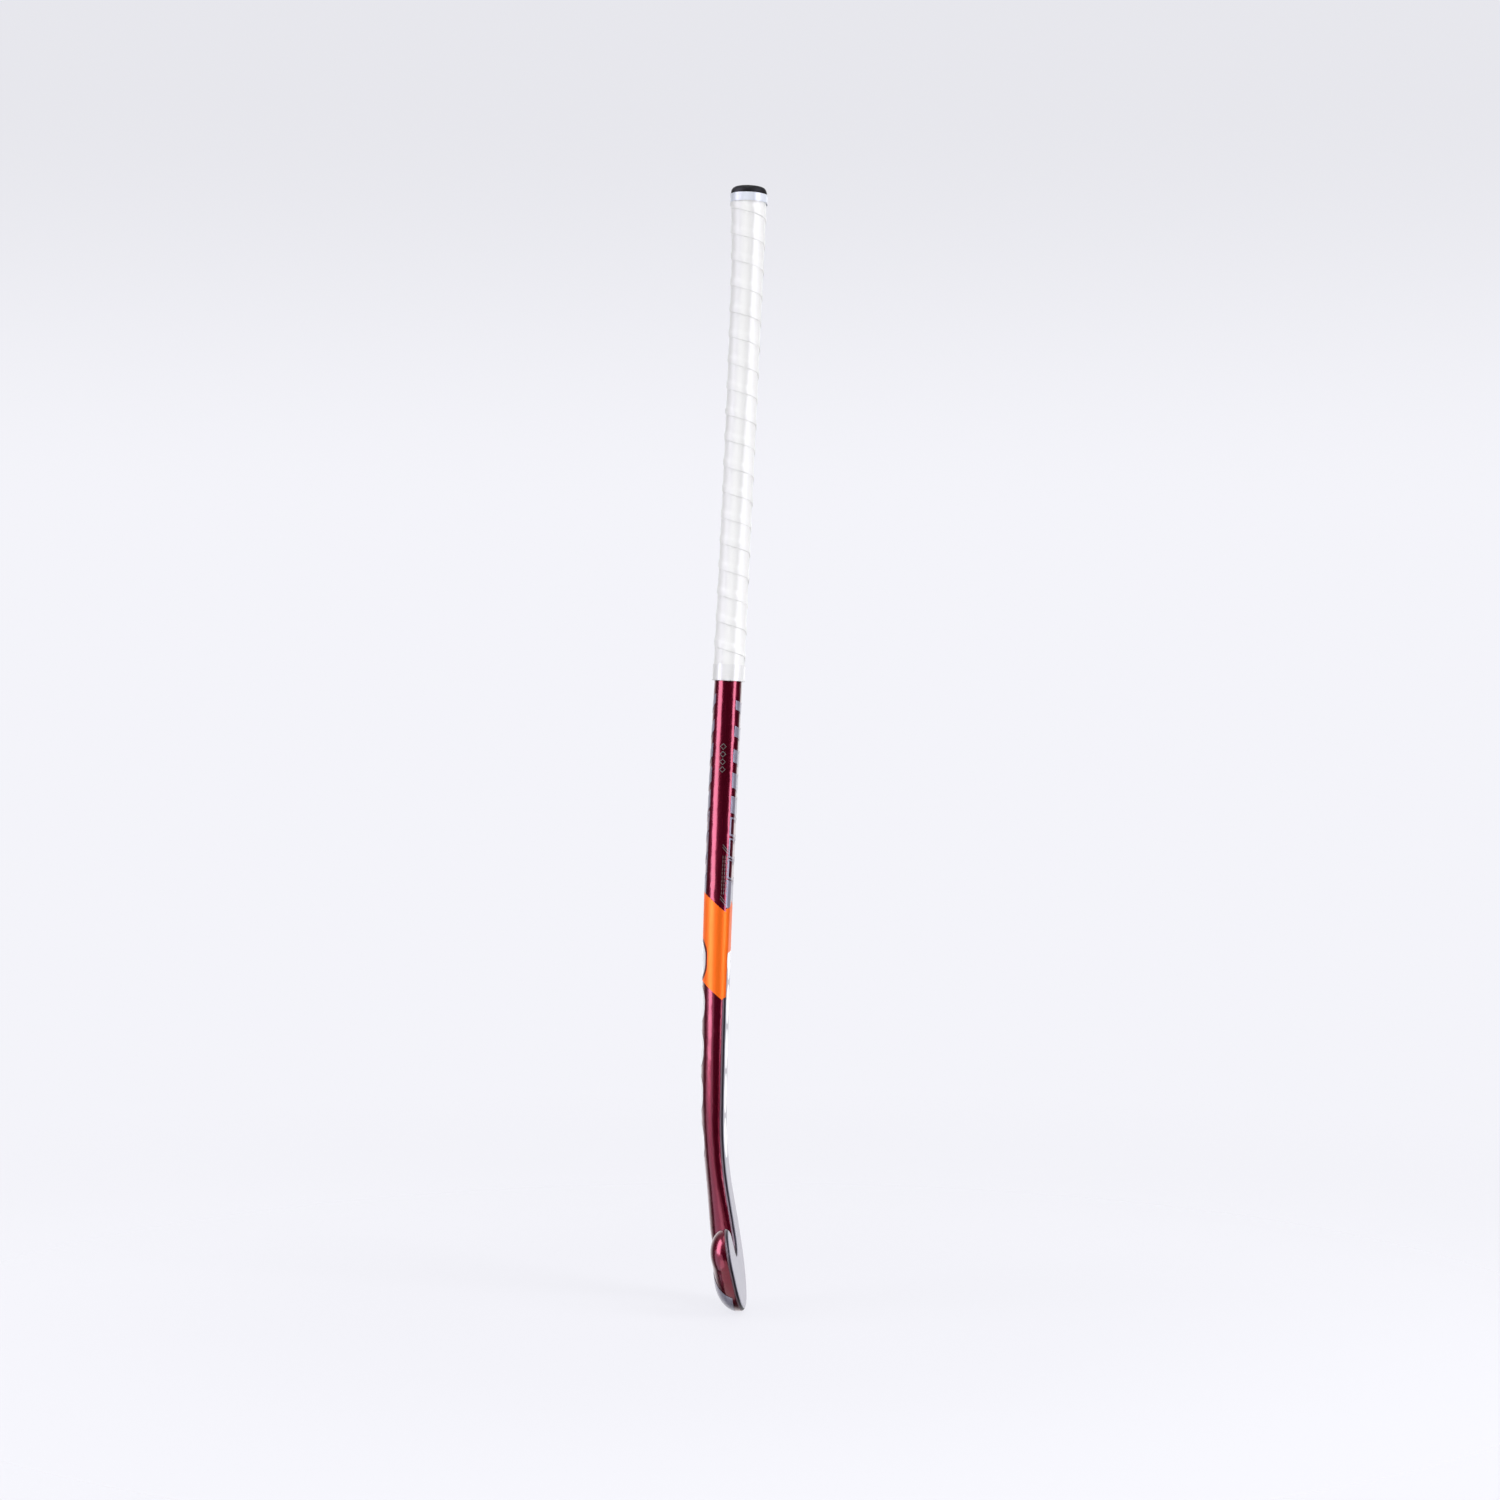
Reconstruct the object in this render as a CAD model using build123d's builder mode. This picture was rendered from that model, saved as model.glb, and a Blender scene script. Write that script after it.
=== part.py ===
from build123d import *
from math import cos, radians, sin
import os

os.makedirs("parts", exist_ok=True)

# Field hockey stick, 952.5 long. Millimetres, Z up from the sole to the butt, flat playing face
# toward -Y, toe of the hook toward -X. The origin is the bottom centre of the bounding box.

# Where the centre line of the face meets the sole
SHAFT_X = 35.75
FACE_Y = -12.71
SOLE_Z = 0.95

# Bow of the playing face, measured along the face from the sole
HEAD_TILT = 9.35
MID_TILT = -0.85
HANDLE_TILT = -2.75
HEAD_RUN = 95.0
LOW_BEND = 67.0
HIGH_BEND = 200.0
BODY_LENGTH = 946.7
LOW_RADIUS = LOW_BEND / radians(HEAD_TILT - MID_TILT)
HIGH_RADIUS = HIGH_BEND / radians(MID_TILT - HANDLE_TILT)

# Hook: radius of its centre line, angle it turns through, straight run before the rounded toe
HOOK_RADIUS = 36.0
HOOK_TURN = 152.0
TOE_RUN = 12.0
SOLE_HALF_WIDTH = 23.5
HOOK_HEIGHT = HOOK_RADIUS + SOLE_HALF_WIDTH
TOE_SIZE = (43.0, 18.1, 4.0)

# Width, depth and face-corner radius of the stick at distances along the face from the sole
SHAFT_SIZES = {
    59.5: (46.0, 22.8, 5.0),
    120.0: (46.0, 19.0, 7.5),
    180.0: (45.2, 20.8, 7.5),
    240.0: (43.4, 21.3, 7.6),
    310.0: (40.2, 22.8, 8.0),
    390.0: (36.2, 23.7, 8.6),
    460.0: (33.0, 23.9, 9.6),
    530.0: (30.6, 23.5, 10.9),
    620.0: (29.4, 23.1, 11.2),
    720.0: (29.0, 23.1, 11.2),
    820.0: (29.0, 23.7, 11.4),
    885.0: (29.4, 24.7, 11.9),
    920.0: (30.8, 26.3, 12.7),
    946.7: (32.6, 28.0, 13.5),
    960.0: (33.2, 28.6, 13.8),
}

# The same sizes at angles around the hook
HOOK_SIZES = {
    0.0: (46.0, 22.8, 5.0),
    45.0: (46.8, 21.8, 4.0),
    90.0: (47.0, 20.8, 4.0),
    115.0: (46.2, 20.6, 4.0),
    135.0: (45.0, 19.6, 4.0),
    152.0: (43.8, 18.3, 4.0),
}

# Layers, from the middle out
LAP = 0.12
FIT = 0.1
TUBE_WALL = 0.9
SHAFT_WALL = 2.3
HEAD_WALL = 3.6
FILM = 0.2
UNDERWRAP = 0.5
GRIP = 1.3
TAPE = 0.2

# Levels along the face
CORE_TOP = 200.0
CORE_TURN = 146.0
TUBE_BOTTOM = 204.0
TUBE_TOP = 903.0
PLUG_BOTTOM = 905.0
GRIP_BOTTOM = 531.0
SKIN_TOP = 600.0
GRIP_TOP = 946.2
TAPE_WIDTH = 14.0
COLLAR_WIDTH = 7.0

# End cap and its spigot
CAP_HEIGHT = 6.0
CAP_OVERHANG = 1.2
CAP_SHOULDER = 4.4
SPIGOT_RADIUS = 6.0
SPIGOT_LENGTH = 18.0

# Graphics: depths of the lines along the edges, measured behind the face
FACE_EDGE = 0.3
DARK_LINE = 1.3
PALE_LINE = 1.2
FACE_FILM_TOP = 300.0

# Graphics: band round the shaft, lowest where it turns the corner of the face
BAND_LEVEL = 260.0
BAND_HEIGHT = 75.0
BAND_CORNER = 3.0
BAND_BACK_RISE = 13.8
BAND_FACE_RISE = 9.0

# Graphics: white lobes down the back and the face, and the pale patch under the hook
LOBE_LEVELS = (141.0, 179.0, 217.0, 255.0, 293.0)
LOBE_HEIGHT = 32.0
LOBE_WIDTH = 27.0
LOBE_OUTLINE = 2.2
FACE_LOBE_WIDTH = 31.0
FACE_LOBE_HEIGHT = 34.0
PATCH_DEPTH = 8.5
PATCH_LOW = 17.0
PATCH_HIGH = 35.5

# Graphics: chevrons as (level of the top, height); the last one runs under the band
SOLID_CHEVRONS = ((520, 8), (498, 9), (478, 11), (458, 13), (438, 14.5), (366, 24))
OPEN_CHEVRONS = ((420, 16), (402, 17), (384, 17))
CHEVRON_LEVEL = 440.0
CHEVRON_DROP = 9.0
CHEVRON_LINE = 1.1
CHEVRON_WRAP = 3.2
BACK_CHEVRON_WIDTH = 19.0

# Graphics: small lozenges and a ruled panel on the toe-side edge
LOZENGE_LEVELS = (475.0, 468.5, 462.0, 455.5)
LOZENGE_DEPTH = 12.0
LOZENGE_SIZE = 5.6
LOZENGE_LINE = 0.7
PANEL_LEVEL = 366.0
PANEL_LENGTH = 46.0
PANEL_DEPTH = 5.6
PANEL_WIDTH = 5.6
PANEL_LINE = 0.6
PANEL_DASH = 2.4
PANEL_DASHES = 10


def blend(table, key):
    """Smooth value of a size table at any distance or angle between its entries."""
    keys = sorted(table)
    key = min(max(key, keys[0]), keys[-1])
    i = max(j for j in range(len(keys) - 1) if keys[j] <= key)
    span = keys[i + 1] - keys[i]
    f = (key - keys[i]) / span
    before = keys[max(i - 1, 0)]
    after = keys[min(i + 2, len(keys) - 1)]
    values = []
    for a, b, c, d in zip(table[before], table[keys[i]], table[keys[i + 1]], table[after]):
        slope_b = (c - a) / (keys[i + 1] - before) * span
        slope_c = (d - b) / (after - keys[i]) * span
        rise = (2 * f**3 - 3 * f**2 + 1) * b + (f**3 - 2 * f**2 + f) * slope_b
        values.append(rise + (3 * f**2 - 2 * f**3) * c + (f**3 - f**2) * slope_c)
    return values


def draw_face(lift, start, length):
    """Draw the side-view line of the playing face, lifted off it; returns its two ends."""
    lean = sin(radians(HEAD_TILT))
    rise = cos(radians(HEAD_TILT))
    low = Line(
        (start * lean - lift * rise, start * rise + lift * lean),
        (HEAD_RUN * lean - lift * rise, HEAD_RUN * rise + lift * lean),
    )
    bend = JernArc(low @ 1, low % 1, LOW_RADIUS - lift, HEAD_TILT - MID_TILT)
    bow = JernArc(bend @ 1, bend % 1, HIGH_RADIUS - lift, MID_TILT - HANDLE_TILT)
    rest = length - HEAD_RUN - LOW_BEND - HIGH_BEND
    high = Line(bow @ 1, bow @ 1 + (bow % 1) * rest)
    return low @ 0, high @ 1


SIDE = Plane(origin=(SHAFT_X, FACE_Y, SOLE_Z), x_dir=(0, 1, 0), z_dir=(1, 0, 0))

with BuildLine(SIDE) as face_line:
    draw_face(0, 0, BODY_LENGTH + 12)

FACE_LINE = face_line.wires()[0]


def shaft_plane(distance):
    """Cross-section plane at a distance along the face; its Y axis points into the stick."""
    spot = FACE_LINE.position_at(distance, position_mode=PositionMode.LENGTH)
    rise = FACE_LINE.tangent_at(distance, position_mode=PositionMode.LENGTH)
    return Plane(origin=spot, x_dir=(1, 0, 0), z_dir=rise)


def hook_plane(angle, run=0.0):
    """Cross-section plane at an angle around the hook, then a straight run past it."""
    head = shaft_plane(0)
    across = Vector(1, 0, 0)
    centre = head.origin + head.z_dir * HOOK_HEIGHT - across * HOOK_RADIUS
    turn = radians(angle)
    radial = across * cos(turn) - head.z_dir * sin(turn)
    along = across * -sin(turn) - head.z_dir * cos(turn)
    return Plane(origin=centre + radial * HOOK_RADIUS + along * run, x_dir=radial, z_dir=-along)


def d_outline(size, grow):
    """Flat-faced, round-backed outline; the flat stands LAP proud so the face can be trimmed."""
    width, depth, corner = size
    half = width / 2 + grow
    corner = corner + grow
    flat = -grow - LAP
    with BuildLine() as outline:
        Line((corner - half, flat), (half - corner, flat))
        CenterArc((half - corner, flat + corner), corner, -90, 90)
        EllipticalCenterArc(
            (0, flat + corner), half, depth + grow - flat - corner, 0, arc_size=180
        )
        CenterArc((corner - half, flat + corner), corner, 180, 90)
    return outline.edges()


def section(plane, size, grow):
    with BuildSketch(plane) as sketch:
        make_face(d_outline(size, grow))
    return sketch.sketch


def shaft_sections(top, bottom, grow):
    """Sections down the shaft, about every 28 mm."""
    count = max(2, round((top - bottom) / 28))
    levels = [top + (bottom - top) * i / count for i in range(count + 1)]
    return [section(shaft_plane(s), blend(SHAFT_SIZES, s), grow) for s in levels]


def hook_sections(angle, grow):
    """Sections around the hook, after the one it shares with the shaft."""
    count = max(2, round(angle / 19))
    turns = [angle * (i + 1) / count for i in range(count)]
    return [section(hook_plane(a), blend(HOOK_SIZES, a), grow) for a in turns]


def whole_sections(top, grow):
    toe = section(hook_plane(HOOK_TURN, TOE_RUN), TOE_SIZE, grow)
    return shaft_sections(top, HOOK_HEIGHT, grow) + hook_sections(HOOK_TURN, grow) + [toe]


def toe_half(grow):
    """Inner half of the toe section, to be turned about the middle of the toe."""
    with BuildSketch(hook_plane(HOOK_TURN, TOE_RUN)) as sketch:
        make_face(d_outline(TOE_SIZE, grow))
        with Locations((-50, 0)):
            Rectangle(100, 100, mode=Mode.SUBTRACT)
    return sketch.sketch


def in_front_of_face(lift):
    """Side-view area on the ball side of the face, or of a layer lifted off it."""
    with BuildSketch(SIDE) as area:
        with BuildLine() as edge:
            foot, top = draw_face(lift, -30, BODY_LENGTH + 12)
            Polyline(top, (-60, top.Y), (-60, foot.Y), foot)
        make_face(edge.edges())
    return area.sketch


TOE_AXIS = Axis(
    hook_plane(HOOK_TURN, TOE_RUN).origin,
    hook_plane(HOOK_TURN, TOE_RUN).y_dir,
)


def wall_at(distance):
    """Laminate thickness, heavier in the head."""
    share = min(max((distance - 110) / 90, 0), 1)
    return HEAD_WALL + (SHAFT_WALL - HEAD_WALL) * share


def cavity_sections(top, bottom, gap):
    """Shaft sections of the hollow, drawn in by a gap."""
    count = max(2, round((top - bottom) / 28))
    levels = [top + (bottom - top) * i / count for i in range(count + 1)]
    return [section(shaft_plane(s), blend(SHAFT_SIZES, s), -wall_at(s) - gap) for s in levels]


def side_plane(distance):
    """Plane seen from the heel side: X runs into the stick, Y up the shaft."""
    level = shaft_plane(distance)
    return Plane(origin=level.origin, x_dir=level.y_dir, z_dir=(1, 0, 0))


def front_plane(distance):
    """Plane of the face at a level: X toward the heel, Y up the shaft, Z out of the face."""
    level = shaft_plane(distance)
    return Plane(origin=level.origin, x_dir=(1, 0, 0), z_dir=-level.y_dir)


# Solid envelope of the laminate
with BuildPart() as envelope:
    loft(sections=whole_sections(BODY_LENGTH, 0))
    revolve(profiles=toe_half(0), axis=TOE_AXIS, revolution_arc=180)
    extrude(in_front_of_face(0), amount=150, both=True, mode=Mode.SUBTRACT)

# Laminate shell: the envelope with its hollow, open at the butt
with BuildPart() as composite_shell:
    add(envelope.part)
    loft(
        sections=cavity_sections(BODY_LENGTH + 4, HOOK_HEIGHT, 0)
        + hook_sections(CORE_TURN + 1, -HEAD_WALL),
        mode=Mode.SUBTRACT,
    )
composite_shell.part.label = "composite_shell"
export_step(composite_shell.part, "parts/composite_shell.step")

# Foam core that fills the hook and the bottom of the shaft
with BuildPart() as head_core:
    loft(
        sections=cavity_sections(BODY_LENGTH, HOOK_HEIGHT, FIT)
        + hook_sections(CORE_TURN, -HEAD_WALL - FIT)
    )
    split(bisect_by=shaft_plane(CORE_TOP), keep=Keep.BOTTOM)
head_core.part.label = "head_core"
export_step(head_core.part, "parts/head_core.step")

# Bore of one of the two tubes laid side by side inside the shaft
with BuildPart() as tube_bore:
    loft(sections=cavity_sections(TUBE_TOP + 3, TUBE_BOTTOM - 3, FIT + TUBE_WALL))
    split(bisect_by=Plane.YZ.offset(SHAFT_X - FIT - TUBE_WALL), keep=Keep.BOTTOM)

with BuildPart() as core_tube_toe_side:
    loft(sections=cavity_sections(TUBE_TOP, TUBE_BOTTOM, FIT))
    split(bisect_by=Plane.YZ.offset(SHAFT_X - FIT), keep=Keep.BOTTOM)
    add(tube_bore.part, mode=Mode.SUBTRACT)
core_tube_toe_side.part.label = "core_tube_toe_side"
export_step(core_tube_toe_side.part, "parts/core_tube_toe_side.step")

with BuildPart() as core_tube_heel_side:
    mirror(core_tube_toe_side.part, about=Plane.YZ.offset(SHAFT_X))
core_tube_heel_side.part.label = "core_tube_heel_side"
export_step(core_tube_heel_side.part, "parts/core_tube_heel_side.step")

# Turned plug that closes the butt and takes the cap's spigot
BUTT = shaft_plane(BODY_LENGTH)
BUTT_MIDDLE = blend(SHAFT_SIZES, BODY_LENGTH)[1] / 2

with BuildPart() as butt_plug:
    loft(sections=cavity_sections(BODY_LENGTH, PLUG_BOTTOM, FIT))
    with BuildSketch(BUTT):
        with Locations((0, BUTT_MIDDLE)):
            Circle(SPIGOT_RADIUS + FIT)
    extrude(amount=-SPIGOT_LENGTH - 1, mode=Mode.SUBTRACT)
butt_plug.part.label = "butt_plug"
export_step(butt_plug.part, "parts/butt_plug.step")

# Rubber cap on the butt
with BuildPart() as end_cap:
    extrude(section(BUTT, blend(SHAFT_SIZES, BODY_LENGTH), CAP_OVERHANG), amount=CAP_HEIGHT)
    fillet(end_cap.edges().group_by(Axis.Z)[-1], radius=CAP_SHOULDER)
    with BuildSketch(BUTT):
        with Locations((0, BUTT_MIDDLE)):
            Circle(SPIGOT_RADIUS)
    extrude(amount=-SPIGOT_LENGTH)
end_cap.part.label = "end_cap"
export_step(end_cap.part, "parts/end_cap.step")

# Handle layers: cushion underwrap, grip tape, finishing tape and top band
CUSHION_INSIDE = FILM / 4
CUSHION_OUTSIDE = CUSHION_INSIDE + UNDERWRAP
GRIP_INSIDE = CUSHION_OUTSIDE + FIT / 2
GRIP_OUTSIDE = GRIP_INSIDE + GRIP


def sleeve(top, bottom, inside, outside):
    """Tube of wrap round the handle."""
    loft(sections=shaft_sections(top, bottom, outside))
    loft(sections=shaft_sections(top + 1, bottom - 1, inside), mode=Mode.SUBTRACT)


with BuildPart() as handle_underwrap:
    sleeve(GRIP_TOP, GRIP_BOTTOM + 1, CUSHION_INSIDE, CUSHION_OUTSIDE)
handle_underwrap.part.label = "handle_underwrap"
export_step(handle_underwrap.part, "parts/handle_underwrap.step")

with BuildPart() as grip_tape:
    sleeve(GRIP_TOP, GRIP_BOTTOM, GRIP_INSIDE, GRIP_OUTSIDE)
grip_tape.part.label = "grip_tape"
export_step(grip_tape.part, "parts/grip_tape.step")

with BuildPart() as finishing_tape:
    sleeve(
        GRIP_BOTTOM + TAPE_WIDTH, GRIP_BOTTOM + 0.5, GRIP_OUTSIDE + FIT / 2, GRIP_OUTSIDE + TAPE
    )
finishing_tape.part.label = "finishing_tape"
export_step(finishing_tape.part, "parts/finishing_tape.step")

with BuildPart() as grip_top_band:
    sleeve(GRIP_TOP, GRIP_TOP - COLLAR_WIDTH, GRIP_OUTSIDE + FIT / 2, GRIP_OUTSIDE + TAPE)
grip_top_band.part.label = "grip_top_band"
export_step(grip_top_band.part, "parts/grip_top_band.step")

# Thin skin over the bare stick, from which every decal is cut
with BuildPart() as skin:
    loft(sections=whole_sections(SKIN_TOP, FILM))
    revolve(profiles=toe_half(FILM), axis=TOE_AXIS, revolution_arc=180)
    extrude(in_front_of_face(FILM), amount=150, both=True, mode=Mode.SUBTRACT)
    add(envelope.part, mode=Mode.SUBTRACT)

# White lobes: rounded shapes on the back and on the face
with BuildPart() as lobe_blocks:
    for level in LOBE_LEVELS:
        with BuildSketch(front_plane(level)):
            RectangleRounded(LOBE_WIDTH, LOBE_HEIGHT, LOBE_WIDTH / 2 - 0.2)
        extrude(amount=-40)
    extrude(in_front_of_face(-10), amount=150, both=True, mode=Mode.SUBTRACT)

with BuildPart() as face_lobe_blocks:
    for level in LOBE_LEVELS:
        with BuildSketch(front_plane(level)):
            RectangleRounded(FACE_LOBE_WIDTH, FACE_LOBE_HEIGHT, FACE_LOBE_WIDTH / 2 - 0.2)
        extrude(amount=5, both=True)

with BuildPart() as outline_block:
    with BuildSketch(front_plane(LOBE_LEVELS[-1])):
        RectangleRounded(
            LOBE_WIDTH + 2 * LOBE_OUTLINE, LOBE_HEIGHT + 2 * LOBE_OUTLINE, LOBE_WIDTH / 2
        )
    extrude(amount=-40)
    extrude(in_front_of_face(-10), amount=150, both=True, mode=Mode.SUBTRACT)

with BuildPart() as back_lobes:
    add(skin.part)
    add(lobe_blocks.part, mode=Mode.INTERSECT)
back_lobes.part.label = "back_lobes"
export_step(back_lobes.part, "parts/back_lobes.step")

with BuildPart() as lobe_outline:
    add(skin.part)
    add(outline_block.part, mode=Mode.INTERSECT)
    add(lobe_blocks.part, mode=Mode.SUBTRACT)
lobe_outline.part.label = "lobe_outline"
export_step(lobe_outline.part, "parts/lobe_outline.step")

# Silver film over the face, and the white lobes let into it
with BuildPart() as face_zone:
    add(skin.part)
    extrude(in_front_of_face(-FACE_EDGE), amount=150, both=True, mode=Mode.INTERSECT)
    split(bisect_by=shaft_plane(FACE_FILM_TOP), keep=Keep.BOTTOM)

with BuildPart() as face_film:
    add(face_zone.part)
    add(face_lobe_blocks.part, mode=Mode.SUBTRACT)
face_film.part.label = "face_film"
export_step(face_film.part, "parts/face_film.step")

with BuildPart() as face_lobes:
    add(face_zone.part)
    add(face_lobe_blocks.part, mode=Mode.INTERSECT)
face_lobes.part.label = "face_lobes"
export_step(face_lobes.part, "parts/face_lobes.step")

# Space of the band: slanted over the edges and back, peaked in the middle of the face
SLANT = (30 - BAND_CORNER) * BAND_BACK_RISE / 17

with BuildPart() as band_back:
    with BuildSketch(side_plane(BAND_LEVEL)):
        with BuildLine():
            Polyline(
                (BAND_CORNER, 0),
                (30, SLANT),
                (30, SLANT + BAND_HEIGHT),
                (BAND_CORNER, BAND_HEIGHT),
                (-10, BAND_HEIGHT),
                (-10, 0),
                close=True,
            )
        make_face()
    extrude(amount=60, both=True)
    extrude(in_front_of_face(-BAND_CORNER), amount=150, both=True, mode=Mode.SUBTRACT)

with BuildPart() as band_block:
    with BuildSketch(front_plane(BAND_LEVEL)):
        with BuildLine():
            Polyline(
                (-24, 0),
                (0, BAND_FACE_RISE),
                (24, 0),
                (24, BAND_HEIGHT),
                (0, BAND_HEIGHT + BAND_FACE_RISE),
                (-24, BAND_HEIGHT),
                close=True,
            )
        make_face()
    extrude(amount=20, both=True)
    extrude(in_front_of_face(-BAND_CORNER), amount=150, both=True, mode=Mode.INTERSECT)
    add(band_back.part)

# Two fine lines that follow the edge of the face right round the hook
with BuildPart() as dark_edge_line:
    add(skin.part)
    extrude(
        in_front_of_face(-FACE_EDGE - DARK_LINE), amount=150, both=True, mode=Mode.INTERSECT
    )
    extrude(in_front_of_face(-FACE_EDGE), amount=150, both=True, mode=Mode.SUBTRACT)
    split(bisect_by=shaft_plane(BAND_LEVEL + BAND_FACE_RISE), keep=Keep.BOTTOM)
    add(band_block.part, mode=Mode.SUBTRACT)
dark_edge_line.part.label = "dark_edge_line"
export_step(dark_edge_line.part, "parts/dark_edge_line.step")

with BuildPart() as pale_edge_line:
    add(skin.part)
    extrude(
        in_front_of_face(-FACE_EDGE - DARK_LINE - PALE_LINE),
        amount=150,
        both=True,
        mode=Mode.INTERSECT,
    )
    extrude(
        in_front_of_face(-FACE_EDGE - DARK_LINE), amount=150, both=True, mode=Mode.SUBTRACT
    )
    split(bisect_by=shaft_plane(BAND_LEVEL + BAND_FACE_RISE), keep=Keep.BOTTOM)
    add(band_block.part, mode=Mode.SUBTRACT)
pale_edge_line.part.label = "pale_edge_line"
export_step(pale_edge_line.part, "parts/pale_edge_line.step")

# Band round the shaft
with BuildPart() as colour_band:
    add(skin.part)
    add(band_block.part, mode=Mode.INTERSECT)
    add(outline_block.part, mode=Mode.SUBTRACT)
    add(face_zone.part, mode=Mode.SUBTRACT)
colour_band.part.label = "colour_band"
export_step(colour_band.part, "parts/colour_band.step")

# Pale patch under the back of the hook
with BuildPart() as hook_patch:
    add(skin.part)
    with BuildSketch(SIDE):
        with BuildLine():
            rim = ThreePointArc(
                (PATCH_DEPTH, PATCH_LOW),
                (PATCH_DEPTH + 8.6, PATCH_LOW + 4.8),
                (PATCH_DEPTH + 16, PATCH_HIGH),
            )
            Polyline(
                rim @ 1,
                (60, PATCH_HIGH + 65),
                (60, -30),
                (PATCH_DEPTH - 1.5, -30),
                rim @ 0,
            )
        make_face()
    extrude(amount=150, both=True, mode=Mode.INTERSECT)
hook_patch.part.label = "hook_patch"
export_step(hook_patch.part, "parts/hook_patch.step")


# Chevrons below the grip, on the face and on the back
CHEVRON_PLANE = front_plane(CHEVRON_LEVEL)


def chevron_prisms(shapes, width, line):
    """Blocks through the shaft, each a chevron pointing down, drawn in by a line width."""
    half = width / 2 - line
    for top, height in shapes:
        high = top - CHEVRON_LEVEL - line * 1.3
        low = high - height + line * 2.6
        with BuildSketch(CHEVRON_PLANE) as shape:
            with BuildLine() as outline:
                Polyline(
                    (-half, high),
                    (0, high - CHEVRON_DROP),
                    (half, high),
                    (half, low),
                    (0, low - CHEVRON_DROP),
                    (-half, low),
                    close=True,
                )
            make_face(outline.edges())
        extrude(shape.sketch, amount=40, both=True)


with BuildPart() as face_openings:
    chevron_prisms(OPEN_CHEVRONS, 60, CHEVRON_LINE)
    extrude(
        in_front_of_face(-CHEVRON_WRAP + CHEVRON_LINE),
        amount=150,
        both=True,
        mode=Mode.INTERSECT,
    )

with BuildPart() as face_chevrons:
    chevron_prisms(SOLID_CHEVRONS + OPEN_CHEVRONS, 60, 0)
    extrude(in_front_of_face(-CHEVRON_WRAP), amount=150, both=True, mode=Mode.INTERSECT)
    add(face_openings.part, mode=Mode.SUBTRACT)
    add(band_block.part, mode=Mode.SUBTRACT)
    add(skin.part, mode=Mode.INTERSECT)
face_chevrons.part.label = "face_chevrons"
export_step(face_chevrons.part, "parts/face_chevrons.step")

with BuildPart() as back_openings:
    chevron_prisms(OPEN_CHEVRONS, BACK_CHEVRON_WIDTH, CHEVRON_LINE)

with BuildPart() as back_chevrons:
    chevron_prisms(SOLID_CHEVRONS + OPEN_CHEVRONS, BACK_CHEVRON_WIDTH, 0)
    extrude(in_front_of_face(-12), amount=150, both=True, mode=Mode.SUBTRACT)
    add(back_openings.part, mode=Mode.SUBTRACT)
    add(band_block.part, mode=Mode.SUBTRACT)
    add(skin.part, mode=Mode.INTERSECT)
back_chevrons.part.label = "back_chevrons"
export_step(back_chevrons.part, "parts/back_chevrons.step")

# Small lozenges and a ruled panel on the edge that faces the toe
with BuildPart() as edge_lozenges:
    for level in LOZENGE_LEVELS:
        with BuildSketch(side_plane(level)):
            with Locations((LOZENGE_DEPTH, 0)):
                RegularPolygon(LOZENGE_SIZE / 2, 4, rotation=0)
                RegularPolygon(LOZENGE_SIZE / 2 - LOZENGE_LINE, 4, mode=Mode.SUBTRACT)
        extrude(amount=-40)
    add(skin.part, mode=Mode.INTERSECT)
edge_lozenges.part.label = "edge_lozenges"
export_step(edge_lozenges.part, "parts/edge_lozenges.step")

with BuildPart() as edge_panel:
    with BuildSketch(side_plane(PANEL_LEVEL)):
        for end in (-1, 1):
            for step in (0, 1):
                spot = end * (PANEL_LENGTH / 2 - step * 2.4)
                with Locations(Pos(PANEL_DEPTH, spot) * Rot(0, 0, 48)):
                    Rectangle(PANEL_WIDTH * 1.45, PANEL_LINE)
        for column in (-1, 0, 1):
            with Locations((PANEL_DEPTH + column * PANEL_WIDTH / 3, 0)):
                with GridLocations(1, PANEL_DASH * 1.4, 1, PANEL_DASHES):
                    Rectangle(PANEL_LINE, PANEL_DASH)
    extrude(amount=-40)
    add(skin.part, mode=Mode.INTERSECT)
edge_panel.part.label = "edge_panel"
export_step(edge_panel.part, "parts/edge_panel.step")
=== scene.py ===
import bmesh
import bpy
import math
import random

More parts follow.
